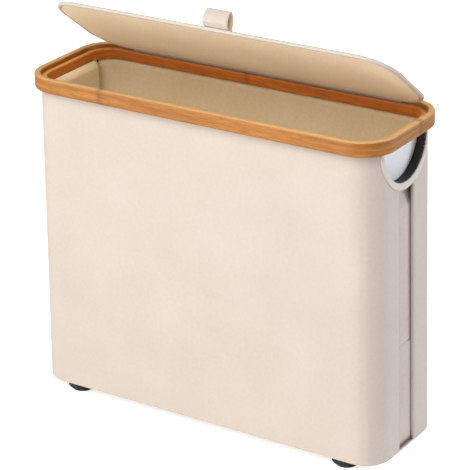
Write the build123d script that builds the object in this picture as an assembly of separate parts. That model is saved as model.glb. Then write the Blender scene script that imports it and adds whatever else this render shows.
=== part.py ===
from build123d import *
from math import sqrt
import os

# Slim lidded storage basket, in millimetres.
# The origin is on the floor under the middle of the basket: X runs along its length,
# Y from front to back and Z up. The lid is stored part open, as its cloth hinge holds it.

# Rim hoops
rim_length = 445.0
rim_depth = 150.0
rim_corner = 38.0
overall_height = 378.0
outer_hoop_wall = 7.2
outer_hoop_height = 16.5
outer_hoop_arris = 2.2
inner_hoop_wall = 5.8
inner_hoop_step = 5.0
inner_hoop_arris = 1.0

# Cloth, boards and the play between layers
cover_cloth = 0.8
wall_board = 2.2
lining_cloth = 0.7
play = 0.1
soft_clearance = 0.3
base_flare = 6.0
cover_edge_below_inner_hoop = 1.0
board_joint = 0.5

# Bottom
base_cloth_thickness = 0.8
base_board_thickness = 4.0
floor_panel_thickness = 2.5

# Feet and their screws
foot_height = 10.0
foot_radius = 16.5
foot_sole_radius = 12.0
foot_sole_rise = 4.5
foot_draft = 0.5
foot_edge_round = 1.5
foot_spacing_x = 350.0
foot_spacing_y = 100.0
foot_recess_radius = 5.0
foot_recess_depth = 4.0
screw_radius = 1.75
screw_head_radius = 3.8
screw_head_height = 2.2
screw_hole_play = 0.05
screw_tip_below_board_top = 0.6

# Handle cut-outs in both ends
handle_radius = 44.5
handle_straight = 0.5
handle_middle_y = -2.0
binding_side = 3.5
binding_foot = 8.0
binding_thickness = 1.0
insert_wall = 1.2
insert_depth = 10.5
insert_flange = 4.8
insert_mitre_gap = 0.6

# Slot in the right end, from the base up to the binding
slot_width = 30.0
slot_above_cover_foot = 2.5
slot_under_binding = 3.0

# End panels behind the cut-outs
panel_thickness = 1.2
panel_past_insert = 0.4
panel_gap_below_handle = 4.5
panel_slope_height = 27.0
panel_top_turn = 6.0
panel_under_hoop = 1.4
panel_bend_radius = 4.0

# Lid
lid_length = 424.0
lid_depth = 130.0
lid_corner = 38.0
lid_board_thickness = 2.6
lid_cloth = 0.8
lid_edge_round = 1.2
lid_turn_in = 3.5
lid_seam_gap = 0.8
lid_lining_recess = 0.1
lid_rest_gap = 0.3
lid_open_at_rest = 37.5
hinge_to_lid = 0.7

# Hinge strip between the hoops
hinge_half_length = 172.0
hinge_strip_below_axis = 0.6
hinge_strip_depth = 14.2

# Pull loop on the lid
tab_width = 31.0
tab_height = 21.0
tab_bulge = 13.0
tab_cloth = 0.9
tab_fold_height = 2.25
tab_lean = 17.5
tab_from_edge = 2.0
tab_middle_x = 8.0
tab_sewn_length = 11.0

# Brads through the hoops, on the front and the back
pin_radius = 0.7
pin_play = 0.05
pin_into_outer_hoop = 4.5
pin_places = (-150.0, -50.0, 50.0, 150.0)

# Heights and sizes that follow
rim_top = overall_height
rim_under = rim_top - outer_hoop_height
inner_top = rim_top - inner_hoop_step
cover_inset = outer_hoop_wall + play
inner_hoop_inset = cover_inset + cover_cloth + play
cover_top_length = rim_length - 2 * cover_inset
cover_depth = rim_depth - 2 * cover_inset
cover_corner = rim_corner - cover_inset
cover_rise = rim_under - foot_height
board_outer = cover_cloth + play
board_inner = board_outer + wall_board
lining_outer = board_inner + play
lining_inner = lining_outer + lining_cloth
panel_outer = lining_inner + play
slot_half = slot_width / 2
base_board_under = foot_height + base_cloth_thickness + play
base_board_top = base_board_under + base_board_thickness
inside_foot = base_board_top + play
wall_head = rim_under - play
handle_foot = rim_under - handle_straight - handle_radius
panel_gap_lower = handle_foot - panel_gap_below_handle
panel_leaves_wall_at = panel_gap_lower - panel_slope_height
slot_foot = foot_height + slot_above_cover_foot
slot_head = handle_foot - binding_foot + slot_under_binding
end_face = cover_top_length / 2
insert_end = end_face - insert_depth
panel_hung_face = insert_end - soft_clearance
panel_wide_half = handle_radius + insert_wall + panel_past_insert
corner_middle_x = end_face - cover_corner
corner_middle_y = cover_depth / 2 - cover_corner
flange_inner = board_inner + play + insert_wall
lid_thickness = lid_board_thickness + 2 * lid_cloth
hinge_y = rim_depth / 2 - outer_hoop_wall - (cover_cloth + 2 * play) / 2
hinge_z = inner_top + lid_rest_gap + lid_thickness
hinge_axis = Axis((0, hinge_y, hinge_z), (-1, 0, 0))
foot_places = {
    "foot_front_left": (-foot_spacing_x / 2, -foot_spacing_y / 2),
    "foot_front_right": (foot_spacing_x / 2, -foot_spacing_y / 2),
    "foot_rear_left": (-foot_spacing_x / 2, foot_spacing_y / 2),
    "foot_rear_right": (foot_spacing_x / 2, foot_spacing_y / 2),
}


def hoop(inset, wall, top, height, arris):
    """A bent hoop: its outline is the rim's, drawn in by inset, and its arrises are rounded."""
    outside = RectangleRounded(rim_length - 2 * inset, rim_depth - 2 * inset, rim_corner - inset)
    inner = inset + wall
    inside = RectangleRounded(rim_length - 2 * inner, rim_depth - 2 * inner, rim_corner - inner)
    ring = extrude(Pos(0, 0, top - height) * (outside - inside), height)
    flat_edges = ring.edges().filter_by(lambda e: abs(e.bounding_box().size.Z) < 0.01)
    return fillet(flat_edges, arris)


def body_half_length(z):
    """Half the cover's outer length at a height: it flares evenly from the rim down to the base."""
    return end_face + base_flare * (rim_under - z) / cover_rise


def body_section(inset, z):
    """The cover's outline at a height, drawn in by inset."""
    length = 2 * (body_half_length(z) - inset)
    return Pos(0, 0, z) * RectangleRounded(length, cover_depth - 2 * inset, cover_corner - inset)


def body_block(inset, low, high):
    """A solid block of the body's shape between two heights."""
    return loft([body_section(inset, low), body_section(inset, high)], ruled=True)


def wall_layer(outer, inner, low, high):
    """One layer of the wall, as a tube between two insets from the cover's face."""
    return body_block(outer, low, high) - body_block(inner, low, high)


def slab(low, high, half_width, x_low=-rim_length, middle_y=0.0):
    """A plain block used for cutting: between two heights, from a length on, about a middle line."""
    block = Box(rim_length - x_low, 2 * half_width, high - low, align=(Align.MIN, Align.CENTER, Align.MIN))
    return Pos(x_low, middle_y, low) * block


def handle_prism(radius, foot, start=0.0):
    """A bar along +X with the cut-out's outline: a half circle with straight sides up to the rim."""
    centre = foot + radius
    rise = wall_head - centre
    side = Plane(origin=(start, handle_middle_y, 0), x_dir=(0, 1, 0), z_dir=(1, 0, 0))
    outline = Pos(0, centre) * Circle(radius) + Pos(0, centre + rise / 2) * Rectangle(2 * radius, rise)
    return extrude(side * outline, rim_length - start)


def both_ends(piece):
    """A right-hand piece and its mirror image at the left end."""
    return piece + mirror(piece, about=Plane.YZ)


def handle_cuts(margin):
    """The cut-outs in both ends, larger all round than the insert by a margin."""
    radius = handle_radius + insert_wall + margin
    return both_ends(handle_prism(radius, handle_foot - insert_wall - margin))


def slot_cut(foot, half_width):
    """The slot in the right end, from a height up to behind the edge band."""
    return slab(foot, slot_head, half_width, 0.0, handle_middle_y)


def slot_edges():
    """The cover's cloth turned in at both sides of the slot, round the cut edges of the boards."""
    layer = wall_layer(0.0, board_inner, slot_foot, slot_head)
    return layer & (slot_cut(slot_foot, slot_half + cover_cloth) - slot_cut(slot_foot, slot_half))


def pin_bars(radius, start, end):
    """Bars along Y at every brad, on the front and the back, between two distances from the middle."""
    z = (inner_top + rim_under) / 2
    bars = []
    for x in pin_places:
        for side in (-1, 1):
            bar = Cylinder(radius, end - start, rotation=(90, 0, 0))
            bars.append(Pos(x, side * (start + end) / 2, z) * bar)
    return bars


def make_outer_rim():
    ring = hoop(0.0, outer_hoop_wall, rim_top, outer_hoop_height, outer_hoop_arris)
    inner_face = rim_depth / 2 - outer_hoop_wall
    return ring - pin_bars(pin_radius + pin_play, inner_face - 1.0, inner_face + pin_into_outer_hoop)


def make_inner_rim():
    height = inner_top - rim_under
    ring = hoop(inner_hoop_inset, inner_hoop_wall, inner_top, height, inner_hoop_arris)
    return ring - pin_bars(pin_radius + pin_play, rim_depth / 4, rim_depth / 2)


def make_rim_pins():
    inner_face = rim_depth / 2 - inner_hoop_inset - inner_hoop_wall
    tip = rim_depth / 2 - outer_hoop_wall + pin_into_outer_hoop - play
    return pin_bars(pin_radius, inner_face, tip)


def hinge_gap(margin):
    """The stretch between the hoops at the back that the hinge strip takes instead of the cover."""
    low = hinge_z - hinge_strip_below_axis - hinge_strip_depth
    half = hinge_half_length + margin
    block = Box(2 * half, rim_depth / 2, rim_top - low + margin, align=(Align.CENTER, Align.MIN, Align.MIN))
    return Pos(0, 0, low - margin) * block


def make_outer_cover():
    sleeve = wall_layer(0.0, cover_cloth, foot_height, rim_under)
    top = inner_top - cover_edge_below_inner_hoop - rim_under
    clamped = extrude(body_section(0.0, rim_under) - body_section(cover_cloth, rim_under), top)
    cover = sleeve + clamped - handle_cuts(play) - slot_cut(slot_foot, slot_half) - hinge_gap(play)
    cover += slot_edges()
    return cover - pin_bars(pin_radius + pin_play, rim_depth / 4, rim_depth / 2)


def wall_boards():
    """Both wall boards, before they are parted: cut for the handles, the slot and the end joints."""
    tube = wall_layer(board_outer, board_inner, base_board_under, wall_head)
    slot = slot_cut(0.0, slot_half + cover_cloth + play)
    return tube - handle_cuts(play) - slot - slab(0.0, rim_top, board_joint / 2)


def front_half(piece):
    half = Box(2 * rim_length, rim_depth, 2 * rim_top, align=(Align.CENTER, Align.MAX, Align.CENTER))
    return piece & half


def back_half(piece):
    half = Box(2 * rim_length, rim_depth, 2 * rim_top, align=(Align.CENTER, Align.MIN, Align.CENTER))
    return piece & half


def linings():
    """Both wall linings: cloth on the walls and round the corners, open at the middle of each end."""
    tube = wall_layer(lining_outer, lining_inner, inside_foot, wall_head)
    return tube - handle_cuts(insert_flange + play) - slab(0.0, rim_top, corner_middle_y - play)


def panel_head_face():
    """Where the end panel's top edge lies: a little under the inner hoop, but clear of the insert."""
    under_hoop = rim_length / 2 - inner_hoop_inset - inner_hoop_wall + panel_under_hoop
    corner = cover_corner - flange_inner
    past_flat = panel_wide_half + abs(handle_middle_y) - corner_middle_y
    insert_face = corner_middle_x + sqrt(corner ** 2 - past_flat ** 2)
    return min(under_hoop, insert_face - soft_clearance)


def panel_profile():
    """The end panel seen from the front: up the wall, in behind the cut-out and out under the hoop."""
    def wall_face(z):
        return body_half_length(z) - panel_outer
    outer = [
        (wall_face(inside_foot), inside_foot),
        (wall_face(panel_leaves_wall_at), panel_leaves_wall_at),
        (panel_hung_face, panel_gap_lower),
        (panel_hung_face, wall_head - panel_top_turn),
        (panel_head_face(), wall_head),
    ]
    inner = [(x - panel_thickness, z) for x, z in reversed(outer)]
    return Plane.XZ * make_face(Polyline(*outer, *inner, close=True))


def make_end_panel():
    """Right end panel: wide behind the cut-out and as wide as the flat of the wall below it."""
    sheet = extrude(panel_profile(), rim_depth, both=True)
    bends = sheet.edges().filter_by(Axis.Y).filter_by(
        lambda e: inside_foot + 1 < e.center().Z < wall_head - 1)
    sheet = fillet(bends, panel_bend_radius)
    narrow = corner_middle_y
    wide_front = handle_middle_y - panel_wide_half
    wide_back = handle_middle_y + panel_wide_half
    side = Plane(origin=(0, 0, 0), x_dir=(0, 1, 0), z_dir=(1, 0, 0))
    outline = Polyline(
        (-narrow, 0), (narrow, 0), (narrow, panel_leaves_wall_at), (wide_back, panel_gap_lower),
        (wide_back, rim_top), (wide_front, rim_top), (wide_front, panel_gap_lower),
        (-narrow, panel_leaves_wall_at), close=True)
    return sheet & extrude(side * make_face(outline), rim_length)


def make_binding():
    """Right edge band: it lies on the cover round the cut-out and hides the insert's edge."""
    layer = wall_layer(-play - binding_thickness, -play, slot_foot, wall_head)
    band = handle_prism(handle_radius + binding_side, handle_foot - binding_foot)
    band = band - handle_prism(handle_radius, handle_foot)
    return layer & band


def make_insert():
    """Right insert: a sleeve through the wall, mitred under the hoop, with a flange behind the board."""
    sleeve = handle_prism(handle_radius + insert_wall, handle_foot - insert_wall, insert_end)
    sleeve = sleeve & body_block(play, foot_height, wall_head)
    mitre = Polyline(
        (insert_end, wall_head - panel_top_turn), (insert_end + insert_mitre_gap, wall_head - panel_top_turn),
        (panel_head_face() + insert_mitre_gap, wall_head), (insert_end, wall_head), close=True)
    sleeve -= extrude(Plane.XZ * make_face(mitre), rim_depth, both=True)
    flange_layer = wall_layer(board_inner + play, flange_inner, foot_height, wall_head)
    flange_out = handle_prism(handle_radius + insert_wall + insert_flange, handle_foot - insert_wall - insert_flange)
    flange = flange_layer & flange_out
    return sleeve + flange - handle_prism(handle_radius, handle_foot)


def screw_hole(length, align=Align.CENTER):
    return Cylinder(screw_radius + screw_hole_play, length, align=(Align.CENTER, Align.CENTER, align))


def make_base_cloth():
    low = foot_height
    sheet = extrude(body_section(cover_cloth + play, low), base_cloth_thickness)
    return sheet - [Pos(x, y, low) * screw_hole(rim_depth) for x, y in foot_places.values()]


def make_base_board():
    board = extrude(Pos(0, 0, base_board_under - base_board_top)
                    * body_section(board_inner + play, base_board_top), base_board_thickness)
    blind = base_board_top - screw_tip_below_board_top
    for x, y in foot_places.values():
        board -= Pos(x, y, blind) * screw_hole(rim_depth, Align.MAX)
    return board


def make_floor_panel():
    """Loose floor: it lies on the base board between the linings and the end panels."""
    length = 2 * (body_half_length(base_board_top) - panel_outer - panel_thickness - soft_clearance)
    depth = cover_depth - 2 * (lining_inner + soft_clearance)
    corner = cover_corner - lining_inner
    return extrude(Pos(0, 0, inside_foot) * RectangleRounded(length, depth, corner), floor_panel_thickness)


def make_foot(x, y):
    """A turned foot: upright side, chamfered sole and a screw recess from below."""
    profile = Polyline(
        (0, 0), (foot_sole_radius, 0), (foot_radius, foot_sole_rise),
        (foot_radius - foot_draft, foot_height), (0, foot_height), close=True)
    body = revolve(Plane.XZ * make_face(profile), Axis.Z)
    rims = body.edges().filter_by(GeomType.CIRCLE).filter_by(
        lambda e: 0.01 < e.center().Z < foot_height - 0.01)
    body = fillet(rims, foot_edge_round)
    recess = Cylinder(foot_recess_radius, foot_recess_depth, align=(Align.CENTER, Align.CENTER, Align.MIN))
    return Pos(x, y, 0) * (body - recess - screw_hole(4 * foot_height))


def make_foot_screws():
    head_low = foot_recess_depth - screw_head_height
    tip = base_board_top - screw_tip_below_board_top - play
    screws = []
    for x, y in foot_places.values():
        shank = Cylinder(screw_radius, tip - head_low, align=(Align.CENTER, Align.CENTER, Align.MIN))
        head = Cylinder(screw_head_radius, screw_head_height, align=(Align.CENTER, Align.CENTER, Align.MIN))
        head = fillet(head.edges().sort_by(Axis.Z)[0], screw_head_height / 2)
        screws.append(Pos(x, y, head_low) * (shank + head))
    return screws


def make_hinge_cloth():
    """Cloth strip held between the hoops at the back, up to the line that the lid turns on."""
    top = hinge_z - hinge_strip_below_axis
    strip = Box(2 * hinge_half_length, cover_cloth, hinge_strip_depth, align=(Align.CENTER, Align.CENTER, Align.MAX))
    return Pos(0, hinge_y, top) * strip - pin_bars(pin_radius + pin_play, rim_depth / 4, rim_depth / 2)


def lid_outline(inset):
    """The lid's outline when shut, seen from above."""
    middle = hinge_y - hinge_to_lid - lid_depth / 2
    outline = RectangleRounded(lid_length - 2 * inset, lid_depth - 2 * inset, lid_corner - inset)
    return Pos(0, middle, 0) * outline


def lid_layer(inset, low, high):
    """A layer of the shut lid, between two heights above its underside."""
    under = hinge_z - lid_thickness
    return extrude(Pos(0, 0, under + low) * lid_outline(inset), high - low)


def opened(piece):
    """A lid piece turned from shut to the angle that it is stored at."""
    return piece.rotate(hinge_axis, lid_open_at_rest)


def make_lid_board():
    return opened(lid_layer(lid_cloth + play, lid_cloth, lid_cloth + lid_board_thickness))


def make_lid_cover():
    """Cloth over the top and edge of the lid, turned in round the underside."""
    block = lid_layer(0.0, 0.0, lid_thickness)
    edges = block.edges().filter_by(lambda e: abs(e.bounding_box().size.Z) < 0.01)
    block = fillet(edges, lid_edge_round)
    inside = lid_layer(lid_cloth, lid_cloth, lid_cloth + lid_board_thickness)
    return opened(block - inside - lid_layer(lid_turn_in, -1.0, lid_cloth))


def make_lid_lining():
    return opened(lid_layer(lid_turn_in + lid_seam_gap, lid_lining_recess, lid_cloth))


def loop_face(shrink, low=0.0):
    """The loop seen from its open end, standing on the lid: a leaf shape, drawn in by shrink."""
    half = tab_bulge / 2 - shrink
    high = tab_height - shrink
    middle = (low + high) / 2
    front = ThreePointArc((0, low), (-half, middle), (0, high))
    back = ThreePointArc((0, high), (half, middle), (0, low))
    return make_face([front, back])


def make_lid_tab():
    """Pull loop: a folded band sewn flat to the lid's top by its two ends, standing up at the edge."""
    side = Plane(origin=(0, 0, 0), x_dir=(0, 1, 0), z_dir=(1, 0, 0))
    loop = Rotation(0, 0, tab_lean) * (loop_face(0.0) - loop_face(tab_cloth, tab_fold_height))
    sewn = Pos(tab_sewn_length / 2, tab_cloth) * Rectangle(tab_sewn_length, 2 * tab_cloth)
    above_lid = Pos(0, tab_height) * Rectangle(4 * tab_height, 2 * tab_height)
    band = extrude(side * ((loop + sewn) & above_lid), tab_width / 2, both=True)
    front_edge = hinge_y - hinge_to_lid - lid_depth
    return opened(Pos(tab_middle_x, front_edge + tab_from_edge, hinge_z) * band)


def build():
    boards = wall_boards()
    lining = linings()
    panel = make_end_panel()
    binding = make_binding()
    insert = make_insert()
    nodes = {
        "outer_rim": make_outer_rim(),
        "inner_rim": make_inner_rim(),
        "rim_pins": make_rim_pins(),
        "outer_cover": make_outer_cover(),
        "front_board": front_half(boards),
        "back_board": back_half(boards),
        "front_lining": front_half(lining),
        "back_lining": back_half(lining),
        "end_panel_right": panel,
        "end_panel_left": mirror(panel, about=Plane.YZ),
        "handle_binding_right": binding,
        "handle_binding_left": mirror(binding, about=Plane.YZ),
        "handle_insert_right": insert,
        "handle_insert_left": mirror(insert, about=Plane.YZ),
        "base_cloth": make_base_cloth(),
        "base_board": make_base_board(),
        "floor_panel": make_floor_panel(),
        "foot_screws": make_foot_screws(),
        "hinge_cloth": make_hinge_cloth(),
        "lid_board": make_lid_board(),
        "lid_cover": make_lid_cover(),
        "lid_lining": make_lid_lining(),
        "lid_tab": make_lid_tab(),
    }
    for name, (x, y) in foot_places.items():
        nodes[name] = make_foot(x, y)
    return nodes


os.makedirs("parts", exist_ok=True)
for name, piece in build().items():
    shape = Compound(children=list(piece)) if isinstance(piece, (list, tuple)) else piece
    export_step(shape, f"parts/{name}.step")
    print(name, round(shape.volume, 1))
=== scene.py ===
import bmesh
import bpy
import numpy as np
from mathutils import Matrix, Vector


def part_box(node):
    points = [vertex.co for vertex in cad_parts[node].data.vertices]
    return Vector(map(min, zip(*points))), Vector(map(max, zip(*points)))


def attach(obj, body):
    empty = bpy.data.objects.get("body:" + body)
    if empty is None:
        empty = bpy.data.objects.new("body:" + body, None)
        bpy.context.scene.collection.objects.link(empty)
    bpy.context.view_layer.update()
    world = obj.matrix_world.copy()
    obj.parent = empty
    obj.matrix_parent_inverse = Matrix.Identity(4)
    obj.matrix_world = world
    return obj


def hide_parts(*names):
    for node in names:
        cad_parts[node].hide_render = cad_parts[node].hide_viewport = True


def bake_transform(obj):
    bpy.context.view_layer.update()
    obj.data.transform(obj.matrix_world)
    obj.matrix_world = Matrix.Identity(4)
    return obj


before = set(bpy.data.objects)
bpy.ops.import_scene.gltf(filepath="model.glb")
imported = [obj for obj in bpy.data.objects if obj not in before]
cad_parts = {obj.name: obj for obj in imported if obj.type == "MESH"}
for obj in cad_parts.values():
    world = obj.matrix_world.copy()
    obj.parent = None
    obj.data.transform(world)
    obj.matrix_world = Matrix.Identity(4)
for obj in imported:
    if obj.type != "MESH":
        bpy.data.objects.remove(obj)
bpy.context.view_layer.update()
mm = 0.001

# The set: a pale floor, a long lens and soft lamps
# The view is the photograph's, solved from the rim and the base. The key softbox stands front left
# and a second one by the right end, so the rounded corner between them turns darker than both faces.


def linear(code):
    """An sRGB colour such as 'C08040' as linear red, green, blue and alpha."""
    parts = np.array([int(code[i:i + 2], 16) for i in (0, 2, 4)]) / 255
    low = parts / 12.92
    high = ((parts + 0.055) / 1.055) ** 2.4
    return (*np.where(parts <= 0.04045, low, high), 1.0)


def add(tree, kind, sockets=None, **settings):
    """Adds one shader node. Settings are its own properties; sockets take values or other nodes' outputs."""
    made = tree.nodes.new(kind)
    for key, value in settings.items():
        setattr(made, key, value)
    for key, value in (sockets or {}).items():
        if isinstance(value, bpy.types.NodeSocket):
            tree.links.new(value, made.inputs[key])
        else:
            made.inputs[key].default_value = value
    return made


def new_material(name, **sockets):
    """A material with one Principled shader, whose sockets are named with _ for each space."""
    material = bpy.data.materials.new(name)
    material.use_nodes = True
    shader = material.node_tree.nodes["Principled BSDF"]
    for key, value in sockets.items():
        shader.inputs[key.replace("_", " ")].default_value = value
    return material, material.node_tree, shader


azimuth, elevation, roll = np.radians((33.138, 23.054, 0.977))
camera_back = np.array((
    np.sin(azimuth) * np.cos(elevation), -np.cos(azimuth) * np.cos(elevation), np.sin(elevation)))
level_right = np.cross(-camera_back, (0, 0, 1))
level_right /= np.linalg.norm(level_right)
level_down = np.cross(-camera_back, level_right)
camera_right = np.cos(roll) * level_right + np.sin(roll) * level_down
camera_down = -np.sin(roll) * level_right + np.cos(roll) * level_down
camera_aim = np.array((3.908, 0.0, 209.662)) * mm
camera_distance = 2493.14 * mm

camera = bpy.data.objects.new("camera", bpy.data.cameras.new("camera"))
camera.data.lens = 174.96
camera.data.sensor_width = 36.0
camera.data.clip_end = 50.0
turn = Matrix(np.stack((camera_right, -camera_down, camera_back), axis=1).tolist()).to_4x4()
camera.matrix_world = Matrix.Translation(camera_aim + camera_distance * camera_back) @ turn
bpy.context.scene.collection.objects.link(camera)
bpy.context.scene.camera = camera
bpy.context.scene.view_settings.view_transform = "Standard"


def softbox(name, place, aim, size, watts, tint):
    """A square area lamp that faces a point."""
    lamp = bpy.data.lights.new(name, "AREA")
    lamp.shape = "RECTANGLE"
    lamp.size, lamp.size_y = size
    lamp.energy = watts
    lamp.color = linear(tint)[:3]
    holder = bpy.data.objects.new(name, lamp)
    away = Matrix.Translation(place).translation - Matrix.Translation(aim).translation
    holder.rotation_mode = "QUATERNION"
    holder.rotation_quaternion = away.to_track_quat("Z", "Y")
    holder.location = place
    bpy.context.scene.collection.objects.link(holder)


softbox("key_softbox", (-2.2, -2.9, 2.3), (0, 0, 0.2), (2.4, 2.4), 12, "FFF6EE")
softbox("low_softbox", (-1.5, -3.2, 0.4), (0, 0, 0.4), (2.6, 0.8), 62, "FFF9F3")
softbox("end_softbox", (2.9, 2.5, 1.5), (0.2, 0, 0.2), (1.6, 1.6), 92, "EAF0FF")
softbox("top_softbox", (0.2, -1.8, 2.6), (0, 0, 0.3), (1.6, 1.6), 56, "FFFFFF")
world = bpy.data.worlds.new("studio")
bpy.context.scene.world = world
world.use_nodes = True
world.node_tree.nodes["Background"].inputs["Color"].default_value = linear("FFFFFF")
world.node_tree.nodes["Background"].inputs["Strength"].default_value = 0.3

# Painted floor: the eye sees it nearly white with a soft shadow, and it throws light back as plain paint
floor_half = 9.0
floor_mesh = bpy.data.meshes.new("floor")
floor_corners = [(-1, -1), (1, -1), (1, 1), (-1, 1)]
floor_mesh.from_pydata([(x * floor_half, y * floor_half, 0) for x, y in floor_corners], [], [(0, 1, 2, 3)])
floor = bpy.data.objects.new("floor", floor_mesh)
bpy.context.scene.collection.objects.link(floor)
floor_paint, tree, shader = new_material("painted_floor", Base_Color=linear("F2F0EC"), Roughness=0.9)
sight = add(tree, "ShaderNodeLightPath")
glow = add(tree, "ShaderNodeEmission", {"Color": linear("FFFFFF"), "Strength": 0.72})
seen = add(tree, "ShaderNodeAddShader", {0: shader.outputs[0], 1: glow.outputs[0]})
which = add(tree, "ShaderNodeMixShader", {
    "Fac": sight.outputs["Is Camera Ray"], 1: shader.outputs[0], 2: seen.outputs[0]})
tree.links.new(which.outputs[0], tree.nodes["Material Output"].inputs["Surface"])
floor_mesh.materials.append(floor_paint)

# Feet and their screws
# Four turned feet of moulded black plastic, each held by a zinc plated screw from below, deep in a recess.
# The mould leaves a fine even grit that takes the gloss down; plating on steel stays bright and smooth.
grit = 0.7 * mm
# This black is the feet's own colour, and on the handle sleeves it is painted shade of the finger gap.
black_plastic_and_gap_shade, tree, shader = new_material(
    "moulded_black_plastic_and_painted_gap_shade", Base_Color=linear("0C0C0D"), Roughness=0.5, IOR=1.5)
where = add(tree, "ShaderNodeTexCoord")
grain = add(tree, "ShaderNodeTexNoise", {
    "Vector": where.outputs["Object"], "Scale": 1 / grit, "Detail": 3.0, "Roughness": 0.6})
uneven = add(tree, "ShaderNodeMapRange", {
    "Value": grain.outputs["Fac"], "To Min": 0.42, "To Max": 0.6})
tree.links.new(uneven.outputs[0], shader.inputs["Roughness"])
bump = add(tree, "ShaderNodeBump", {
    "Height": grain.outputs["Fac"], "Strength": 0.5, "Distance": 0.12 * mm})
tree.links.new(bump.outputs[0], shader.inputs["Normal"])

zinc, tree, shader = new_material(
    "zinc_plated_steel", Base_Color=linear("C9C7C0"), Metallic=1.0, Roughness=0.32)
where = add(tree, "ShaderNodeTexCoord")
spangle = add(tree, "ShaderNodeTexNoise", {
    "Vector": where.outputs["Object"], "Scale": 1 / (1.2 * mm), "Detail": 2.0})
uneven = add(tree, "ShaderNodeMapRange", {
    "Value": spangle.outputs["Fac"], "To Min": 0.25, "To Max": 0.42})
tree.links.new(uneven.outputs[0], shader.inputs["Roughness"])


def finish_node(name, material):
    """Gives a carried-over part its material."""
    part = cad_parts[name]
    part.data.materials.clear()
    part.data.materials.append(material)


for corner_name in ("front_left", "front_right", "rear_left", "rear_right"):
    finish_node("foot_" + corner_name, black_plastic_and_gap_shade)
finish_node("foot_screws", zinc)

# Boards
# Grey brown fibreboard: two thin boards wrapped round as walls, a thicker one as the base, one in the lid.
# Pressed fibres give it a flat mottled face without gloss. Nearly all of it is under cloth.
fibreboard, tree, shader = new_material("pressed_fibreboard", Base_Color=linear("85725F"), Roughness=0.88)
where = add(tree, "ShaderNodeTexCoord")
fibres = add(tree, "ShaderNodeTexNoise", {
    "Vector": where.outputs["Object"], "Scale": 1 / (2.5 * mm), "Detail": 5.0, "Roughness": 0.7})
tones = add(tree, "ShaderNodeMix", {
    0: fibres.outputs["Fac"], 6: linear("6E5C4B"), 7: linear("9A8772")}, data_type="RGBA")
tree.links.new(tones.outputs[2], shader.inputs["Base Color"])
bump = add(tree, "ShaderNodeBump", {
    "Height": fibres.outputs["Fac"], "Strength": 0.4, "Distance": 0.2 * mm})
tree.links.new(bump.outputs[0], shader.inputs["Normal"])
for board in ("base_board", "front_board", "back_board", "lid_board"):
    finish_node(board, fibreboard)

# Base cloth
# One cut of the cover's coated cloth over the underside of the base board, its edge under the cover's hem.
# The cloth is a plain weave of matt yarn, filled with a thin coat, so it shows soft threads and little sheen.


def cloth(name, colour, shade, thread, relief, hollow_shade_depth=0.06):
    """A woven cloth on the piece's own UV map, which is in metres: warp and weft as rows of sines that
    a checker lets over and under each other, on a ground whose tone wanders softly between two colours; the
    hollows between the threads are darkened by the last argument as painted shade."""
    material, tree, shader = new_material(name, Roughness=0.86, Sheen_Weight=0.12, Sheen_Roughness=0.6)
    where = add(tree, "ShaderNodeTexCoord")
    uv = where.outputs["UV"]
    rows = 2 * np.pi / (20 * thread)
    warp = add(tree, "ShaderNodeTexWave", {"Vector": uv, "Scale": rows}, bands_direction="X")
    weft = add(tree, "ShaderNodeTexWave", {"Vector": uv, "Scale": rows}, bands_direction="Y")
    over = add(tree, "ShaderNodeTexChecker", {"Vector": uv, "Scale": 1 / thread})
    weave = add(tree, "ShaderNodeMix", {
        0: over.outputs["Fac"], 2: warp.outputs["Fac"], 3: weft.outputs["Fac"]})
    slub = add(tree, "ShaderNodeTexNoise", {"Vector": uv, "Scale": 1 / (4 * mm), "Detail": 4.0})
    drift = add(tree, "ShaderNodeTexNoise", {
        "Vector": where.outputs["Object"], "Scale": 1 / (70 * mm), "Detail": 2.0})
    blend = add(tree, "ShaderNodeMath", {
        0: slub.outputs["Fac"], 1: drift.outputs["Fac"]}, operation="ADD")
    spread = add(tree, "ShaderNodeMapRange", {
        "Value": blend.outputs[0], "From Min": 0.7, "From Max": 1.3, "To Min": 0.0, "To Max": 1.0})
    ground = add(tree, "ShaderNodeMix", {
        0: spread.outputs[0], 6: linear(shade), 7: linear(colour)}, data_type="RGBA")
    # Painted shade: the colour is darkened where the weave lies low, in the hollows between the threads.
    painted_hollow_shade = add(tree, "ShaderNodeMapRange", {
        "Value": weave.outputs[0], "To Min": 1.0 - hollow_shade_depth, "To Max": 1.0})
    threads = add(tree, "ShaderNodeMix", {
        0: 1.0, 6: ground.outputs[2], 7: painted_hollow_shade.outputs[0]}, data_type="RGBA", blend_type="MULTIPLY")
    tree.links.new(threads.outputs[2], shader.inputs["Base Color"])
    height = add(tree, "ShaderNodeMath", {
        0: weave.outputs[0], 1: slub.outputs["Fac"]}, operation="ADD")
    bump = add(tree, "ShaderNodeBump", {
        "Height": height.outputs[0], "Strength": 0.6, "Distance": relief})
    tree.links.new(bump.outputs[0], shader.inputs["Normal"])
    return material


# Its real threads are about 0.5 mm apart; drawn at 0.9 mm, because finer ones don't show
cover_cloth = cloth("coated_canvas", "D2C7BD", "CBC0B5", 0.9 * mm, 0.09 * mm)


def grid(points, uv, round_u=False, round_v=False, keep=None):
    """Quads over an array of points, rows by columns. They face along the rows' direction crossed with
    the columns'. A round grid closes on its first row or column, and its uv has one more."""
    rows, columns = points.shape[:2]
    i, j = np.indices((rows - (not round_u), columns - (not round_v)))
    if keep is not None:
        i, j = i[keep], j[keep]
    i, j = i.ravel(), j.ravel()
    around = ((i, j), (i + 1, j), (i + 1, j + 1), (i, j + 1))
    quads = np.stack([(a % rows) * columns + b % columns for a, b in around], axis=1)
    loops = np.stack([uv[a, b] for a, b in around], axis=1)
    return points.reshape(-1, 3), quads, loops.reshape(-1, 2)


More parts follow.
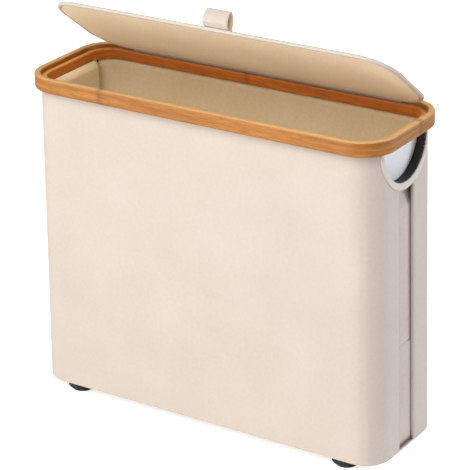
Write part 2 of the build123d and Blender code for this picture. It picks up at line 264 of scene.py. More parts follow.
def piece(name, body, slot, material, *grids, thickness=0.0, offset=-1.0, weld=False):
    """Makes one object of some grids, gives it its finish, and lets it ride on its body."""
    first = np.cumsum([0] + [len(g[0]) for g in grids])
    points = np.concatenate([g[0] for g in grids])
    quads = np.concatenate([g[1] + start for g, start in zip(grids, first)])
    mesh = bpy.data.meshes.new(name)
    mesh.from_pydata(points.tolist(), [], quads.tolist())
    mesh.uv_layers.new(name="UVMap").data.foreach_set("uv", np.concatenate([g[2] for g in grids]).ravel())
    mesh.polygons.foreach_set("use_smooth", np.ones(len(quads), bool))
    mesh.materials.append(material)
    if weld:
        shape = bmesh.new()
        shape.from_mesh(mesh)
        bmesh.ops.remove_doubles(shape, verts=shape.verts, dist=0.001 * mm)
        bmesh.ops.dissolve_degenerate(shape, edges=shape.edges, dist=0.0005 * mm)
        shape.to_mesh(mesh)
        shape.free()
    made = bpy.data.objects.new(name, mesh)
    bpy.context.scene.collection.objects.link(made)
    if thickness:
        wall = made.modifiers.new("thickness", "SOLIDIFY")
        wall.thickness = thickness
        wall.offset = offset
        wall.use_even_offset = True
    if body:
        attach(made, body)
    return made


def rounded(length, depth, corner, long_runs=44, short_runs=8, turns=14):
    """A rounded rectangle, anticlockwise from the middle of its back: each straight is divided evenly and
    each corner is centre + corner * (cos a, sin a). Gives points, outward normals and distances along it."""
    half_x, half_y = length / 2 - corner, depth / 2 - corner
    sides = []
    signs = ((-1, 1), (-1, -1), (1, -1), (1, 1))
    counts = (short_runs, long_runs, short_runs, long_runs)
    for quarter, ((sx, sy), count) in enumerate(zip(signs, counts)):
        a = np.pi / 2 * (quarter + 1 + np.linspace(0, 1, turns + 1))
        normal = np.stack((np.cos(a), np.sin(a)), axis=1)
        arc = np.array((sx * half_x, sy * half_y)) + corner * normal
        share = np.linspace(0, 1, count + 1)[1:-1, None]
        following = np.array(signs[(quarter + 1) % 4]) * (half_x, half_y) + corner * normal[-1]
        run = arc[-1] + share * (following - arc[-1])
        straight = np.tile(normal[-1], (len(run), 1))
        sides.append((np.concatenate((arc, run)), np.concatenate((normal, straight))))
    points, normals = (np.concatenate([side[k] for side in sides]) for k in (0, 1))
    start = long_runs // 2
    points, normals = np.roll(points, start, axis=0), np.roll(normals, start, axis=0)
    steps = np.linalg.norm(np.diff(points, axis=0, append=points[:1]), axis=1)
    return points, normals, np.concatenate(([0.0], np.cumsum(steps)))


def plate(length, depth, corner, insets, heights):
    """Rings of a rounded rectangle, each drawn in by its inset and set at its height. A ring drawn in by half
    the depth closes the plate along its middle line."""
    rings = []
    for inset, height in zip(insets, heights):
        closes = inset > depth / 2 - 0.2 * mm
        inset = min(inset, depth / 2 - 0.3 * mm)
        tight = max(corner - inset, 0.3 * mm)
        points, _, _ = rounded(length - 2 * inset, max(depth - 2 * inset, 2 * tight), tight)
        points = points * (1, 0) if closes else points
        rings.append(np.column_stack((points, np.full(len(points), height))))
    rings = np.stack(rings, axis=1)
    flat = np.concatenate((rings, rings[:1]))[:, :, :2]
    return grid(rings, flat, round_u=True)


body_low, body_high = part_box("outer_cover")
rim_low, rim_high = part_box("outer_rim")
hoop_wall = 7.2 * mm
rim_corner = 38.0 * mm
cover_inset = hoop_wall + 0.1 * mm
half_head = rim_high.x - cover_inset
half_foot = body_high.x
half_depth = body_high.y
wall_corner = rim_corner - cover_inset
foot_z, rim_under = body_low.z, rim_low.z
middle_x, middle_y = half_head - wall_corner, half_depth - wall_corner
base_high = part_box("base_cloth")[1]
base_lift = 0.5 * mm
base_thickness = 0.6 * mm
base_rings = 12
base_cloth = piece(
    "base_cloth_visual", "basket", "cover_cloth", cover_cloth,
    plate(2 * base_high.x, 2 * base_high.y, wall_corner,
          np.linspace(base_high.y, base_thickness, base_rings),
          np.full(base_rings, foot_z + base_lift)), thickness=base_thickness, weld=True)
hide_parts("base_cloth")

# Outer cover
# One sleeve of coated canvas drawn over the boards, clamped between the hoops at the top and hemmed under the
# base. It is cut away under the rim for the two handles and up the right end for the slot, where it turns in.
band_low, band_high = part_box("handle_binding_right")
handle_radius = 44.5 * mm
handle_y = (band_low.y + band_high.y) / 2
handle_z = rim_under - 0.5 * mm
cover_cut = handle_radius + 1.3 * mm
slot_half = 15.0 * mm
slot_foot = foot_z + 2.5 * mm
slot_head = handle_z - handle_radius - 5.0 * mm
turn_in = 0.8 * mm


def end_columns(reach, stops, middle):
    """Where the wall's columns stand across one end: y = middle + reach * sin(a), on the flat and its
    corners, with one at each stop."""
    step = 0.085
    marks = np.arcsin(np.array((-reach, *stops, reach)) / reach)
    counts = [max(3, int(np.ceil((high - low) / step))) for low, high in zip(marks, marks[1:])]
    a = np.unique(np.concatenate([
        np.linspace(low, high, count) for low, high, count in zip(marks, marks[1:], counts)]))
    return middle + reach * np.sin(a)


def wall_path(reach, stops=()):
    """The wall's outline under the rim, anticlockwise from the middle of the back, with columns that fit an
    opening in each end. In a corner x = middle + corner * cos(a) where y = middle + corner * sin(a)."""
    def on_end(y):
        beyond = np.clip(np.abs(y) - middle_y, 0, wall_corner) / wall_corner
        a = np.arcsin(beyond) * np.sign(y)
        return np.stack((middle_x + wall_corner * np.cos(a), y, np.cos(a), np.sin(a)), axis=1)

    y = end_columns(reach, stops, handle_y)
    front_a = np.arcsin((-y[0] - middle_y) / wall_corner)
    rear_a = np.arcsin((y[-1] - middle_y) / wall_corner)
    front = on_end(-middle_y - wall_corner * np.sin(np.linspace(np.pi / 2, front_a, 12)))
    rear = on_end(middle_y + wall_corner * np.sin(np.linspace(rear_a, np.pi / 2, 12)))
    right = np.concatenate((front, on_end(y)[1:-1], rear))
    left = right[::-1] * (-1, 1, -1, 1)
    along = np.linspace(-middle_x, middle_x, 46)[1:-1, None]
    front_run = np.concatenate((along, along * 0 - half_depth, along * 0, along * 0 - 1), axis=1)
    back_run = front_run[::-1] * (1, -1, 1, -1)
    half = len(back_run) // 2
    path = np.concatenate((back_run[half:], left, front_run, right, back_run[:half]))
    steps = np.linalg.norm(np.diff(path[:, :2], axis=0, append=path[:1, :2]), axis=1)
    return path, np.concatenate(([0.0], np.cumsum(steps)))


def on_wall(path, inset, z):
    """Points of the wall's surface at heights z, drawn in by inset: the ends flare evenly to the foot."""
    xy = path[:, None, :2] - path[:, None, 2:] * inset[..., None]
    flare = (half_foot - half_head) * (rim_under - z) / (rim_under - foot_z)
    x = xy[..., 0] + flare * np.clip(path[:, None, 0] / middle_x, -1, 1)
    return np.stack((x, xy[..., 1] + 0 * z, z + 0 * x), axis=-1)


def cut_head(path, radius, head):
    """The height at which each column ends: the head, or on the arc of a handle cut-out."""
    across = np.abs(path[:, 1] - handle_y)
    on_end = np.abs(path[:, 0]) > middle_x - 1 * mm
    arc = handle_z - np.sqrt(np.clip(radius ** 2 - across ** 2, 0, None))
    return np.where(on_end & (across < radius), arc, head)


path, along = wall_path(cover_cut, (-slot_half - turn_in, slot_half + turn_in))
hem = 9.0 * mm
fold = 1.6 * mm
bend = np.linspace(0, np.pi / 2, 5)
low_inset = np.concatenate(([hem, 0.6 * hem, 0.3 * hem], fold - fold * np.sin(bend)))
low_z = np.concatenate(([0, 0, 0], fold - fold * np.cos(bend))) + foot_z
mid_z = np.concatenate(([slot_foot], np.linspace(slot_foot, slot_head, 32)[1:]))
head = cut_head(path, cover_cut, rim_under + 0.2 * mm)
share = np.linspace(0, 1, 12)[None, 1:] ** 0.8
high_z = slot_head + share * (head[:, None] - slot_head)
z = np.concatenate((np.tile(np.concatenate((low_z, mid_z)), (len(path), 1)), high_z), axis=1)
inset = np.concatenate((low_inset, np.zeros(z.shape[1] - len(low_inset))))[None, :] + 0 * z
u = along[:-1, None]
ease = 0.16 * mm * (1.6 + np.sin(u / 0.061 + z / 0.11) + 0.6 * np.sin(u / 0.027 - z / 0.07 + 1.3))
gathers = 1 + np.sin(u / (3.9 * mm) + 2.2 * np.sin(u / 0.031))
pucker = 0.22 * mm * gathers * np.exp(-(rim_under - z) / (11 * mm))
loose = np.clip((z - slot_foot) / 0.03, 0, 1) * np.clip((rim_under - 1 * mm - z) / (4 * mm), 0, 1)
near_cut = np.clip((np.abs(np.abs(path[:, :1]) - half_head) / mm) / 12, 0, 1)
inset = inset - (ease * 0.5 + pucker) * loose * near_cut
uv = np.stack((np.tile(along[:, None], z.shape[1]), np.concatenate((z, z[:1]))), axis=-1)
slot_rows = len(low_z)
rows = np.arange(z.shape[1] - 1)[None, :]
middles = (path + np.roll(path, -1, axis=0)) / 2
in_slot = (middles[:, 0] > middle_x) & (np.abs(middles[:, 1] - handle_y) < slot_half + turn_in)
keep = ~(in_slot[:, None] & (rows >= slot_rows) & (rows < slot_rows + len(mid_z) - 1))
sleeve = grid(on_wall(path, inset, z), uv, round_u=True, keep=keep)


def end_surface(y, z, inset):
    """Points of the right end of the wall at given y and z, drawn in by inset."""
    beyond = np.clip(np.abs(y) - middle_y, 0, wall_corner)
    flare = (half_foot - half_head) * (rim_under - z) / (rim_under - foot_z)
    radius = wall_corner - inset
    x = middle_x + np.where(beyond > 0, np.sqrt(np.clip(radius ** 2 - beyond ** 2, 0, None)), radius) + flare
    return np.stack((x, y + 0 * x, z + 0 * x), axis=-1)


def slot_return(side):
    """The cloth turned in at one side of the slot: a quarter round of its own thickness, then straight in."""
    a = np.linspace(0, np.pi / 2, 5)
    into = np.concatenate((turn_in - turn_in * np.cos(a), [1.8 * mm, 3.0 * mm]))
    across = np.concatenate((turn_in - turn_in * np.sin(a), [0, 0]))
    y = handle_y + side * (slot_half + across)
    height = mid_z[:, None]
    points = end_surface(y[None, :] + 0 * height, height + 0 * y, into[None, :] + 0 * height)
    flat = np.stack((into + across + 0 * height, height + 0 * into), axis=-1)
    if side > 0:
        points, flat = points[::-1], flat[::-1]
    return grid(points[::-1], flat[::-1])


# The strip of the sleeve that is clamped between the hoops, left out at the back where the hinge cloth goes
clamp_height = 10.4 * mm
hinge_gap_half = 172 * mm
clamp, _, clamp_along = rounded(2 * half_head, 2 * half_depth, wall_corner)
clamp_z = np.linspace(rim_under, rim_under + clamp_height, 3)
clamped = np.stack([np.column_stack((clamp, np.full(len(clamp), height))) for height in clamp_z], axis=1)
clamp_middle = (clamp + np.roll(clamp, -1, axis=0)) / 2
at_hinge = (clamp_middle[:, 1] > middle_y + 0.9 * wall_corner) & (np.abs(clamp_middle[:, 0]) < hinge_gap_half)
clamp_uv = np.stack((np.tile(clamp_along[:, None], 3), np.tile(clamp_z, (len(clamp_along), 1))), axis=-1)
clamp_strip = grid(clamped, clamp_uv, round_u=True, keep=np.tile(~at_hinge[:, None], 2))

cover = piece("outer_cover_canvas", "basket", "cover_cloth", cover_cloth,
              sleeve, clamp_strip, slot_return(-1), slot_return(1), thickness=0.75 * mm)
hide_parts("outer_cover")

# The hem's stitches under the base: short cotton stitches that lie half sunk in the cloth
cotton, tree, shader = new_material("waxed_cotton_thread", Base_Color=linear("E6DCCB"), Roughness=0.7)


def stitches(name, body, points, directions, length=2.6 * mm, radius=0.22 * mm):
    """A row of stitches: each is a capsule of five rings of six, along its own direction."""
    along_stitch = np.array((-0.5, -0.4, 0.0, 0.4, 0.5)) * length
    rings = np.array((0.0, 0.8, 1.0, 0.8, 0.0)) * radius
    a = np.linspace(0, 2 * np.pi, 7)[:-1]
    directions = directions / np.linalg.norm(directions, axis=1, keepdims=True)
    side = np.cross(directions, np.where(np.abs(directions[:, 2:]) < 0.9, (0, 0, 1), (1, 0, 0)))
    side /= np.linalg.norm(side, axis=1, keepdims=True)
    up = np.cross(directions, side)
    parts = []
    for centre, along_one, across, rise in zip(points, directions, side, up):
        ring = np.cos(a)[:, None] * across + np.sin(a)[:, None] * rise
        shape = centre + along_stitch[:, None, None] * along_one + rings[:, None, None] * ring
        parts.append(grid(shape, np.zeros((5, 7, 2)), round_v=True))
    return piece(name, body, "cover_cloth", cotton, *parts, weld=True)


def row_of(points, along, pitch, closed=True):
    """Even places along a line of points, with the line's direction at each."""
    line = np.concatenate((points, points[:1])) if closed else points
    count = int(along[-1] / pitch)
    s = (np.arange(count) + 0.5) * along[-1] / count
    places = np.stack([np.interp(s, along, line[:, k]) for k in range(3)], axis=1)
    ahead = np.stack([np.interp(s + 0.1 * mm, along, line[:, k]) for k in range(3)], axis=1)
    return places, ahead - places


hem_sewn = 6 * mm
hem_line, _, hem_along = rounded(
    2 * (half_foot - hem_sewn), 2 * (half_depth - hem_sewn), wall_corner - hem_sewn)
hem_row = np.column_stack((hem_line, np.full(len(hem_line), foot_z)))
stitches("base_hem_stitches", "basket", *row_of(hem_row, hem_along, 4.2 * mm))

# Floor panel
# A loose rounded board on the inside's floor, wrapped in the cream lining cloth so that its edge is soft.
# It drops in last and is held by nothing but its fit.
lining_cloth = cloth("cream_nonwoven_lining", "FBEBC8", "F3DDB0", 0.8 * mm, 0.05 * mm, 0.03)
floor_low, floor_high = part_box("floor_panel")
soft = 1.2 * mm
rings = 8
floor_corner = 26.8 * mm
a = np.linspace(-np.pi / 2, np.pi / 2, 9)
inward = np.linspace(floor_high.y, 2 * soft, rings)
panel_insets = np.concatenate((inward, soft * (1 - np.cos(a)), inward[::-1]))
edge_z = (floor_low.z + floor_high.z) / 2 + (floor_high.z - floor_low.z) / 2 * np.sin(a)
panel_z = np.concatenate((np.full(rings, floor_low.z), edge_z, np.full(rings, floor_high.z)))
floor_panel = piece(
    "floor_panel_visual", "basket", "lining_cloth", lining_cloth,
    plate(2 * floor_high.x, 2 * floor_high.y, floor_corner, panel_insets, panel_z), weld=True)
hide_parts("floor_panel")

# Linings
# Two cream cloths glued inside the walls, front and back, each turning both corners to meet the end panels.
# They stop under the inner hoop, and are cut on an arc where the handles pass.
lining_inset = 3.25 * mm
lining_foot = 15.0 * mm
lining_cut = 50.6 * mm


def lining(side):
    """One lining, as columns from its left edge round to its right one; side is -1 in front and 1 behind."""
    quarter = np.linspace(0, np.pi / 2, 18)
    corner = np.stack((middle_x + wall_corner * np.cos(quarter), middle_y + wall_corner * np.sin(quarter),
                       np.cos(quarter), np.sin(quarter)), axis=1)
    run = np.linspace(middle_x, -middle_x, 50)[1:-1, None]
    back = np.concatenate((run, run * 0 + half_depth, run * 0, run * 0 + 1), axis=1)
    line = np.concatenate((corner, back, corner[::-1] * (-1, 1, -1, 1)))
    line = line if side > 0 else line * (-1, -1, -1, -1)
    top = cut_head(line, lining_cut, rim_under - 0.1 * mm)
    share = np.linspace(0, 1, 40)[None, :]
    z = lining_foot + share * (top[:, None] - lining_foot)
    s = np.concatenate(([0.0], np.cumsum(np.linalg.norm(np.diff(line[:, :2], axis=0), axis=1))))
    slack = 0.12 * mm * (1 + np.sin(s[:, None] / 0.05 + z / 0.09))
    inset = lining_inset + slack * np.sin(np.pi * share) + 0 * z
    uv = np.stack((np.tile(s[:, None], z.shape[1]), z), axis=-1)
    return grid(on_wall(line, inset, z), uv), s[-1]


for side, name in ((-1, "front_lining"), (1, "back_lining")):
    shape, length = lining(side)
    made = piece(name + "_visual", "basket", "lining_cloth", lining_cloth, shape, thickness=0.55 * mm)
    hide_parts(name)

# End panels
# A thin stiffened panel hangs inside each end, covered in cloth: cream inside and pale grey outside, which is
# painted a darker beige where it shows in the slot, as painted shade and warm bounce in the narrow slot. It
# leaves the end wall below the handle to give the fingers room.
# Painted shade: the beige cloth is the panel's pale grey darkened and warmed as the shade inside the narrow
# slot.
panel_slot_shade_cloth = cloth("panel_cloth_painted_slot_shade", "D2C4BB", "C7B8AE", 0.8 * mm, 0.05 * mm, 0.04)
panel_hung = cloth("pale_grey_panel_cloth", "F3F2F3", "EAE8E9", 0.8 * mm, 0.05 * mm, 0.04)


def end_half(z):
    """Half the length of the cover at a height."""
    return half_head + (half_foot - half_head) * (rim_under - z) / (rim_under - foot_z)


def rounded_line(corners, cut, steps=6):
    """A polyline whose corners are eased: (1-t)^2 a + 2t(1-t) b + t^2 c between points cut away from each."""
    corners = np.array(corners, float)
    line = [corners[0]]
    t = np.linspace(0, 1, steps)[:, None]
    for before, here, after in zip(corners, corners[1:], corners[2:]):
        a = here + (before - here) * cut / np.linalg.norm(before - here)
        c = here + (after - here) * cut / np.linalg.norm(after - here)
        line.extend((1 - t) ** 2 * a + 2 * t * (1 - t) * here + t ** 2 * c)
    line.append(corners[-1])
    return np.array(line)


leaves_z, hung_z, turn_z, panel_head = 285 * mm, 312 * mm, 355.4 * mm, 361.4 * mm
hung_x, turned_x = 204.4 * mm, 209 * mm
panel_outer = 4.0 * mm
outline = rounded_line((
    (end_half(lining_foot) - panel_outer, lining_foot), (end_half(leaves_z) - panel_outer, leaves_z),
    (hung_x, hung_z), (hung_x, turn_z), (turned_x, panel_head)), 2.6 * mm)
low_crease, seam_z, high_crease = 47 * mm, 130 * mm, 156 * mm
marks = np.concatenate([at + np.linspace(-3, 3, 13) * mm for at in (low_crease, seam_z, high_crease)])
z = np.unique(np.concatenate((np.linspace(lining_foot, leaves_z - 3 * mm, 50), outline[1:, 1], marks)))
x = np.interp(z, outline[:, 1], outline[:, 0])
seam_lap = 0.6 * mm
for at, depth, spread in ((seam_z + 1 * mm, 0.9, 0.7), (high_crease, 0.45, 1.2), (low_crease, 0.3, 1.2)):
    x = x - depth * mm * np.exp(-((z - at) / (spread * mm)) ** 2)
x = x + seam_lap / (1 + np.exp(np.clip((z - seam_z) / (0.2 * mm), -30, 30)))
low_half, high_half = 37.0 * mm, 46.1 * mm
widen = np.clip((z - leaves_z) / (hung_z - leaves_z), 0, 1)
left_y = -low_half + widen * (handle_y - high_half + low_half)
right_y = low_half + widen * (handle_y + high_half - low_half)
share = np.linspace(0, 1, 24)[:, None]
y = left_y + share * (right_y - left_y)
bow = 0.4 * mm * np.sin(np.pi * share) * np.clip((z - leaves_z) / 0.02, 0, 1)
panel_points = np.stack((x + bow, y, z + 0 * y), axis=-1)
panel_uv = np.stack((y, z + 0 * y), axis=-1)
for side, name in ((1, "end_panel_right"), (-1, "end_panel_left")):
    order = slice(None, None, side)
    made = piece(name + "_visual", "basket", "lining_cloth", panel_slot_shade_cloth,
                 grid(panel_points[order] * (side, 1, 1), panel_uv[order]), thickness=1.1 * mm)
    for material in (lining_cloth, panel_hung, lining_cloth):
        made.data.materials.append(material)
    # Faces below the slot's head take the beige painted shade; those above take the panel's own pale grey.
    hung = [2 * (face.center.z > slot_head) for face in made.data.polygons]
    made.data.polygons.foreach_set("material_index", hung)
    made.modifiers["thickness"].material_offset = 1
    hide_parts(name)

# Handle inserts and bindings
# A moulded sleeve lines each cut-out and keeps the finger gap open; it is coloured black as painted shade,
# standing in for the deep shadow in the finger gap. Over the cut edge of the cover goes a cream tape, folded
# on itself, pressed flat and stitched all along, with a rolled inner edge.
for end in ("left", "right"):
    finish_node("handle_insert_" + end, black_plastic_and_gap_shade)
edge_band = cloth("folded_cotton_tape", "E0D8CC", "D8CEC2", 0.7 * mm, 0.06 * mm, 0.05)
outer_radius, outer_rise = 48.0 * mm, 4.5 * mm
theta = np.linspace(-np.pi / 2, np.pi / 2, 120)
inner_y, inner_z = handle_y + handle_radius * np.sin(theta), handle_z - handle_radius * np.cos(theta)
outer_y = handle_y + outer_radius * np.sin(theta)
outer_z = handle_z - outer_rise - outer_radius * np.cos(theta)
head_z = rim_under - 0.1 * mm
inner_y, outer_y = (np.concatenate((line[:1], line, line[-1:])) for line in (inner_y, outer_y))
inner_z, outer_z = (np.concatenate(([head_z], line, [head_z])) for line in (inner_z, outer_z))
section = np.array((
    (0.0, 0.0), (0.0, 0.5), (0.05, 0.85), (0.16, 1.02), (0.35, 0.92), (0.6, 0.92), (0.84, 1.05),
    (0.95, 0.9), (1.0, 0.45), (1.0, -0.3), (1.0, -1.5)))
reach, proud = section[None, :, 0], section[None, :, 1] * mm
y = outer_y[:, None] + reach * (inner_y - outer_y)[:, None]
z = outer_z[:, None] + reach * (inner_z - outer_z)[:, None]
band_along = np.concatenate(([0.0], np.cumsum(np.hypot(np.diff(inner_y), np.diff(inner_z)))))
crease = 0.05 * mm * np.sin(band_along / (0.9 * mm))[:, None] * np.clip(proud / mm, 0, 1)
band_points = end_surface(y, z, -(proud + crease))
band_across = np.cumsum(np.hypot(*np.diff(section, axis=0, prepend=section[:1]).T)) * 4 * mm
band_uv = np.stack(np.meshgrid(band_along, band_across, indexing="ij"), axis=-1)
stitch_y = outer_y + 0.45 * (inner_y - outer_y)
stitch_z = outer_z + 0.45 * (inner_z - outer_z)
stitch_line = end_surface(stitch_y, stitch_z, -0.98 * mm + 0 * stitch_z)
for side, name in ((1, "handle_binding_right"), (-1, "handle_binding_left")):
    order = slice(None, None, side)
    made = piece(name + "_visual", "basket", "edge_band", edge_band,
                 grid(band_points[order] * (side, 1, 1), band_uv[order]), thickness=0.4 * mm)
    row = stitches(name + "_stitches", "basket", *row_of(
        stitch_line * (side, 1, 1), band_along, 3.0 * mm, closed=False), length=2.0 * mm, radius=0.18 * mm)
    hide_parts(name)

# Bamboo hoops
# Two laminated bamboo strips bent hot into rounded oblongs, one inside the other, their arrises eased and
# lacquered satin. Fine fibres run along them, with a knuckle mark across here and there.


def bamboo(name, pale, deep, streak, edge, knuckles):
    """Bamboo on a uv that runs along the strip in u and round its section in v, in metres: long thin fibres,
    broader bands of tone, dark marks at the knuckles, and paler wood where the surface looks up, partly the
    strip's edge grain and partly painted light, as the tops take the most light."""
    material, tree, shader = new_material(
        name, Roughness=0.45, IOR=1.45, Coat_Weight=0.12, Coat_Roughness=0.25)
    where = add(tree, "ShaderNodeTexCoord")
    uv = where.outputs["UV"]
    thin = add(tree, "ShaderNodeMapping", {"Vector": uv, "Scale": (1 / (22 * mm), 1 / (0.7 * mm), 1)})
    fibres = add(tree, "ShaderNodeTexNoise", {
        "Vector": thin.outputs[0], "Scale": 1.0, "Detail": 4.0, "Roughness": 0.65})
    broad = add(tree, "ShaderNodeMapping", {"Vector": uv, "Scale": (1 / (190 * mm), 1 / (5.5 * mm), 1)})
    bands = add(tree, "ShaderNodeTexNoise", {"Vector": broad.outputs[0], "Scale": 1.0, "Detail": 2.0})
    tone = add(tree, "ShaderNodeMapRange", {
        "Value": bands.outputs["Fac"], "From Min": 0.35, "From Max": 0.65})
    ground = add(tree, "ShaderNodeMix", {
        0: tone.outputs[0], 6: linear(deep), 7: linear(pale)}, data_type="RGBA")
    dark = add(tree, "ShaderNodeMapRange", {
        "Value": fibres.outputs["Fac"], "From Min": 0.46, "From Max": 0.66, "To Max": 0.8})
    grained = add(tree, "ShaderNodeMix", {
        0: dark.outputs[0], 6: ground.outputs[2], 7: linear(streak)}, data_type="RGBA")
    # Painted light: the wood is mixed towards the pale edge colour where the surface faces up, partly for the
    # strip's edge grain and partly as painted top light.
    looks = add(tree, "ShaderNodeNewGeometry")
    facing = add(tree, "ShaderNodeSeparateXYZ", {0: looks.outputs["Normal"]})
    up = add(tree, "ShaderNodeMapRange", {
        "Value": facing.outputs["Z"], "From Min": 0.3, "From Max": 0.95, "To Max": 0.62})
    top_grain_and_painted_light = add(tree, "ShaderNodeMix", {
        0: up.outputs[0], 6: grained.outputs[2], 7: linear(edge)}, data_type="RGBA")
    place = add(tree, "ShaderNodeSeparateXYZ", {0: uv})
    last = top_grain_and_painted_light.outputs[2]
    for knuckle in knuckles:
        off = add(tree, "ShaderNodeMath", {0: place.outputs["X"], 1: knuckle}, operation="SUBTRACT")
        near = add(tree, "ShaderNodeMath", {0: off.outputs[0]}, operation="ABSOLUTE")
        mark = add(tree, "ShaderNodeMapRange", {
            "Value": near.outputs[0], "From Max": 6 * mm, "To Min": 1.0, "To Max": 0.0})
        mark = add(tree, "ShaderNodeMath", {
            0: mark.outputs[0], 1: fibres.outputs["Fac"]}, operation="MULTIPLY")
        darker = add(tree, "ShaderNodeMix", {
            0: mark.outputs[0], 6: last, 7: linear(streak)}, data_type="RGBA")
        last = darker.outputs[2]
    tree.links.new(last, shader.inputs["Base Color"])
    bump = add(tree, "ShaderNodeBump", {
        "Height": fibres.outputs["Fac"], "Strength": 0.35, "Distance": 0.1 * mm})
    tree.links.new(bump.outputs[0], shader.inputs["Normal"])
    return material


def hoop_section(inset, wall, low, high, arris):
    """The closed section of a hoop as (inset, z), up the outside first: an oblong whose arrises are quarter
    rounds, each centre + arris * (cos a, sin a)."""
    section = []
    rounds = ((inset + arris, low + arris, -np.pi / 2, -np.pi),
              (inset + arris, high - arris, np.pi, np.pi / 2),
              (inset + wall - arris, high - arris, np.pi / 2, 0.0),
              (inset + wall - arris, low + arris, 0.0, -np.pi / 2))
    for x, z, start, stop in rounds:
        a = np.linspace(start, stop, 7)
        section.append(np.stack((x + arris * np.cos(a), z + arris * np.sin(a)), axis=1))
    closed = np.concatenate(section + [section[0][:1]])
    long_side = 2 * mm
    parts = []
    for a, b in zip(closed, closed[1:]):
        parts.append(np.linspace(a, b, 5)[:-1] if np.linalg.norm(b - a) > long_side else a[None])
    return np.concatenate(parts)


def hoop(name, node, inset, wall, low, high, arris, material):
    """Sweeps a section round the rim's outline, with its uv in metres."""
    outline, normals, s = rounded(rim_high.x * 2, rim_high.y * 2, rim_corner, long_runs=60, turns=20)
    section = hoop_section(inset, wall, low, high, arris)
    xy = outline[:, None] - normals[:, None] * section[None, :, :1]
    points = np.concatenate((xy, np.tile(section[None, :, 1:], (len(outline), 1, 1))), axis=-1)
    steps = np.linalg.norm(np.diff(section, axis=0, append=section[:1]), axis=1)
    v = np.concatenate(([0.0], np.cumsum(steps)))
    uv = np.stack(np.meshgrid(s, v, indexing="ij"), axis=-1)
    made = piece(name, "basket", "bamboo", material, grid(points, uv, round_u=True, round_v=True))
    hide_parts(node)


# The fifth colour is the paler top: partly edge grain, partly painted light.
outer_bamboo = bamboo("lacquered_bamboo_outer", "C08030", "A4641F", "6E3E10", "F4C988", (0.445, 0.86))
inner_bamboo = bamboo("lacquered_bamboo_inner", "E4862A", "CC6C1A", "944C10", "EDAC5C", (0.017, 0.62))
hoop("outer_hoop_bamboo", "outer_rim", 0.0, hoop_wall, rim_under, rim_high.z, 2.2 * mm, outer_bamboo)
inner_low, inner_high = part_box("inner_rim")
hoop("inner_hoop_bamboo", "inner_rim", rim_high.x - inner_high.x, 5.8 * mm, inner_low.z, inner_high.z,
     1.0 * mm, inner_bamboo)
bronzed, tree, shader = new_material(
    "bronzed_steel_brads", Base_Color=linear("8A5A2A"), Metallic=0.8, Roughness=0.5)
finish_node("rim_pins", bronzed)

# Hinge cloth
# A strip of the cover's canvas clamped between the hoops at the back. It comes up, bends at the rim and is
# sewn along the lid's top, so the lid turns on the cloth itself.
lid_angle = np.radians(37.5)
hinge_y, hinge_z = 67.3 * mm, 377.5 * mm


def opened(points):
    """Turns points of the shut lid about the hinge line to where the lid stands at rest."""
    dy, dz = points[..., 1] - hinge_y, points[..., 2] - hinge_z
    y = hinge_y + dy * np.cos(lid_angle) + dz * np.sin(lid_angle)
    z = hinge_z - dy * np.sin(lid_angle) + dz * np.cos(lid_angle)
    return np.stack((points[..., 0], y, z), axis=-1)


hinge_half = 171.5 * mm
flap = 12.0 * mm
over = 0.4 * mm
x = np.linspace(hinge_half, -hinge_half, 90)[:, None]
stand = np.linspace(363.5, 376.9, 10)[None, :] * mm
lower = np.stack((x + 0 * stand, hinge_y + 0 * x + 0 * stand, stand + 0 * x), axis=-1)
a = np.linspace(0.2, np.pi / 2, 5)
round_y = hinge_y - 0.9 * mm * (1 - np.cos(a))
round_z = hinge_z - 0.5 * mm + 0.9 * mm * np.sin(a)
lie_y = np.linspace(hinge_y - 1.6 * mm, hinge_y - flap, 8)
lid_y = np.concatenate((round_y, lie_y))[None, :]
lid_z = np.concatenate((round_z, np.full(8, hinge_z + over)))[None, :]
ripple = 0.1 * mm * (1 + np.sin(x / (11 * mm))) * np.concatenate((np.zeros(5), np.ones(8)))[None, :]
upper = opened(np.stack((x + 0 * lid_y, lid_y + 0 * x, lid_z + ripple), axis=-1))
hinge_points = np.concatenate((lower, upper), axis=1)
hinge_v = np.concatenate(([0.0], np.cumsum(np.linalg.norm(np.diff(hinge_points[0], axis=0), axis=1))))
hinge_uv = np.stack(np.meshgrid(-x[:, 0], hinge_v, indexing="ij"), axis=-1)
hinge = piece("hinge_cloth_visual", None, "cover_cloth", cover_cloth,
              grid(hinge_points, hinge_uv), thickness=0.6 * mm, offset=0.0)
bisector = np.array((0.0, -np.cos(lid_angle), 1 + np.sin(lid_angle)))
bisector /= np.linalg.norm(bisector)
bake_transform(hinge)
sew_x = np.linspace(hinge_half - 2 * mm, -hinge_half + 2 * mm, 100)
sew = opened(np.stack((
    sew_x, 0 * sew_x + hinge_y - flap + 2 * mm, 0 * sew_x + hinge_z + over + 0.35 * mm), axis=-1))
hinge_row = stitches(
    "hinge_stitches", "lid", *row_of(sew, hinge_half - sew_x - 2 * mm, 3.6 * mm, closed=False))
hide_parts("hinge_cloth")

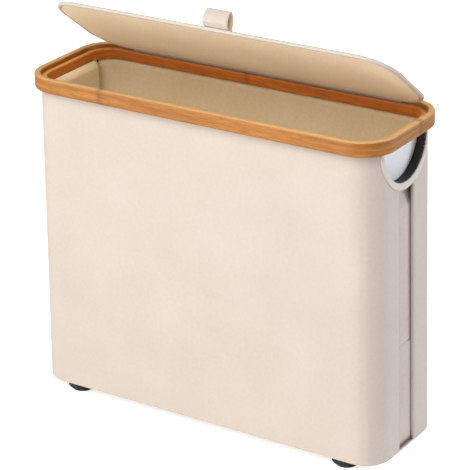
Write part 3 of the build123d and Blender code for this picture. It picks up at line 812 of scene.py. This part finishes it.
# Lid
# A stiff board wrapped in the cover's canvas: it crowns slightly on top, goes round the edges and turns in
# under the board, where a tan cloth panel is glued over its raw edge and stitched down.
lid_length, lid_depth, lid_corner = 424 * mm, 130 * mm, 38 * mm
lid_middle = 1.6 * mm
lid_low, lid_high = 373.3 * mm, 377.5 * mm
lid_round = 2.0 * mm
margin = 3.8 * mm
a = np.linspace(-np.pi / 2, np.pi / 2, 11)
insets = np.concatenate(([margin + 0.3 * mm, margin], [0.7 * margin], lid_round * (1 - np.cos(a)),
                         np.linspace(2 * lid_round, lid_depth / 2, 18)))
heights = np.concatenate(([lid_low + 0.5 * mm, lid_low + 0.05 * mm], [lid_low],
                          (lid_low + lid_high) / 2 + (lid_high - lid_low) / 2 * np.sin(a),
                          lid_high + 0.25 * mm * np.sin(np.linspace(0, np.pi / 2, 18))))
points, quads, flat = plate(lid_length, lid_depth, lid_corner, insets, heights)
lid_cover = piece("lid_cover_canvas", "lid", "cover_cloth", cover_cloth,
                  (opened(points + (0, lid_middle, 0)), quads, flat), thickness=0.65 * mm, weld=True)
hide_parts("lid_cover")

tan_cloth = cloth("tan_lid_lining", "FAE6C6", "F2D8B2", 0.9 * mm, 0.08 * mm, 0.08)
gap = margin + 0.9 * mm
soft = 0.35 * mm
a = np.linspace(np.pi / 2, -np.pi / 2, 7)
rings = 14
inward = np.linspace(lid_depth / 2, gap + 2 * soft, rings)
insets = np.concatenate((inward, gap + soft * (1 - np.cos(a)), inward[::-1]))[::-1]
low_z, high_z = lid_low + 0.05 * mm, lid_low + 0.72 * mm
edge_z = (low_z + high_z) / 2 + soft * np.sin(a)
heights = np.concatenate((np.full(rings, high_z), edge_z, np.full(rings, low_z)))[::-1]
points, quads, flat = plate(lid_length, lid_depth, lid_corner, insets, heights)
lid_lining = piece("lid_lining_tan", "lid", "lid_lining_cloth", tan_cloth,
                   (opened(points + (0, lid_middle, 0)), quads, flat), weld=True)
sewn_in = gap + 2 * mm
seam, _, seam_along = rounded(lid_length - 2 * sewn_in, lid_depth - 2 * sewn_in, lid_corner - sewn_in)
seam = opened(np.column_stack((seam[:, 0], seam[:, 1] + lid_middle, np.full(len(seam), low_z))))
lining_row = stitches("lid_lining_stitches", "lid", *row_of(seam, seam_along, 3.4 * mm), length=2.2 * mm,
                      radius=0.17 * mm)
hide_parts("lid_lining")

# Pull loop
# One folded band of the cover's canvas, both ends laid on each other and sewn to the lid's top near its
# front edge. It stands up and outward, bulged between the fold and the seam.
tab_x, tab_half = 8.0 * mm, 15.5 * mm
tab_y = lid_middle - lid_depth / 2 + 2.0 * mm
lean = np.radians(17.5)
middle_line = rounded_line(np.array((
    (11, 1.35), (6.5, 1.35), (5.0, 2.4), (6.1, 8.5), (4.2, 14.5), (0.9, 20.0), (-0.9, 20.0), (-4.2, 14.5),
    (-6.1, 8.5), (-4.2, 2.2), (-2.2, 0.5), (3.0, 0.45), (11, 0.45))) * mm, 0.85 * mm, steps=4)
s = np.concatenate(([0.0], np.cumsum(np.linalg.norm(np.diff(middle_line, axis=0), axis=1))))
even = np.linspace(0, s[-1], 90)
w = np.interp(even, s, middle_line[:, 0])
h = np.interp(even, s, middle_line[:, 1])
for _ in range(10):
    w[1:-1] = (w[:-2] + 2 * w[1:-1] + w[2:]) / 4
    h[1:-1] = (h[:-2] + 2 * h[1:-1] + h[2:]) / 4
turn_by = lean * np.clip(h / (5 * mm), 0, 1)
leaned_w = w * np.cos(turn_by) - h * np.sin(turn_by)
leaned_h = w * np.sin(turn_by) * np.clip(h / (5 * mm), 0, 1) + h * np.cos(turn_by)
across = np.linspace(-1, 1, 16)[:, None]
pinch = 1 - 0.06 * (h / (20 * mm))[None, :] ** 2
tab_points = np.stack((tab_x + tab_half * across * pinch, tab_y + leaned_w[None, :] + 0 * across,
                       lid_high + np.maximum(leaned_h, 0.45 * mm)[None, :] + 0 * across + 0.1 * mm), axis=-1)
tab_uv = np.stack(np.meshgrid(across[:, 0] * tab_half, even, indexing="ij"), axis=-1)
tab = piece("lid_tab_canvas", "lid", "cover_cloth", cover_cloth,
            grid(opened(tab_points)[::-1], tab_uv[::-1]), thickness=0.8 * mm, offset=0.0)
tab.data.materials.append(tan_cloth)
tab.modifiers["thickness"].material_offset = 1
sew_x = np.linspace(tab_x - tab_half + 1.5 * mm, tab_x + tab_half - 1.5 * mm, 30)
sew = opened(np.stack((sew_x, 0 * sew_x + tab_y + 8.5 * mm, 0 * sew_x + lid_high + 1.95 * mm), axis=-1))
tab_row = stitches(
    "tab_stitches", "lid", *row_of(sew, sew_x - sew_x[0], 2.8 * mm, closed=False), length=2.0 * mm)
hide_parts("lid_tab")
